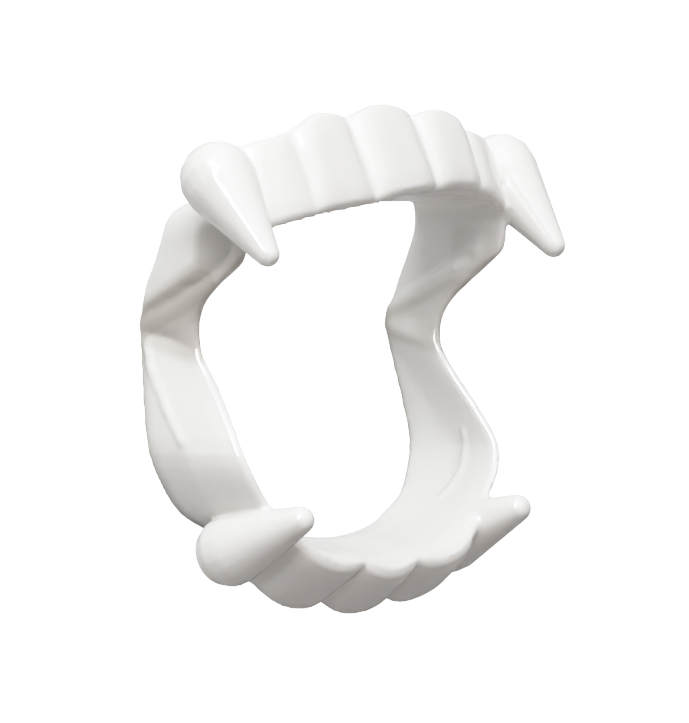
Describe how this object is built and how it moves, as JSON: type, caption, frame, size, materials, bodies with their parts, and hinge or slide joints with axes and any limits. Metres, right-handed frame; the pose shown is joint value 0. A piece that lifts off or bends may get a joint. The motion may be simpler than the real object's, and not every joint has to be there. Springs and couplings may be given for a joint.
{
  "type": "toy vampire teeth",
  "caption": "One-piece moulded ring of white plastic joke teeth, an upper and a lower row with long pointed fangs, worn in the mouth and held by its springy side bands.",
  "frame": {"origin": "centre of the bounding box's footprint, on the floor that the lower back edges rest on", "axes": "+X to the side, +Y towards the upper teeth, +Z out of the mouth, where the teeth point"},
  "size_m": [0.054, 0.052, 0.0229],
  "materials": {
    "white_plastic": "glossy as moulded"
  },
  "bodies": {
    "root": {"fang_denture": "white_plastic"}
  },
  "joints": []
}
